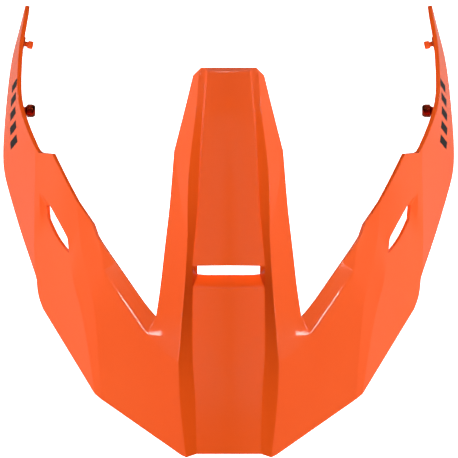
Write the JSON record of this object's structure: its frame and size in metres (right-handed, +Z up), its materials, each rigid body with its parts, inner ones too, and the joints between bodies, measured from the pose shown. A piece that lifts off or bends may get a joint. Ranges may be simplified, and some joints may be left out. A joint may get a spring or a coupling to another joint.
{
  "type": "motocross helmet peak",
  "caption": "Bare motocross helmet peak: faceted orange moulding with a railed tongue, air slot, vented wings and side arms with dark ball studs and moulded square pegs.",
  "frame": {"origin": "middle of the line through the two lower ball studs, the line the peak turns about when it is set on a helmet", "axes": "+Z up with the tongue level, -Y to the front of the peak, +X to the right of someone who looks down on the peak with its front towards them; the names say right for the +X side"},
  "size_m": [0.262, 0.2612, 0.1021],
  "materials": {
    "orange_shell": "gloss orange injection moulding",
    "stud_metal": "dark red-brown, machined",
    "insert_brass": "plain brass",
    "washer_rubber": "matt black rubber"
  },
  "bodies": {
    "root": {"peak_shell": "orange_shell", "lower_stud_left": "stud_metal", "lower_stud_right": "stud_metal", "lower_insert_left": "insert_brass", "lower_insert_right": "insert_brass", "lower_washer_left": "washer_rubber", "lower_washer_right": "washer_rubber"}
  },
  "joints": []
}
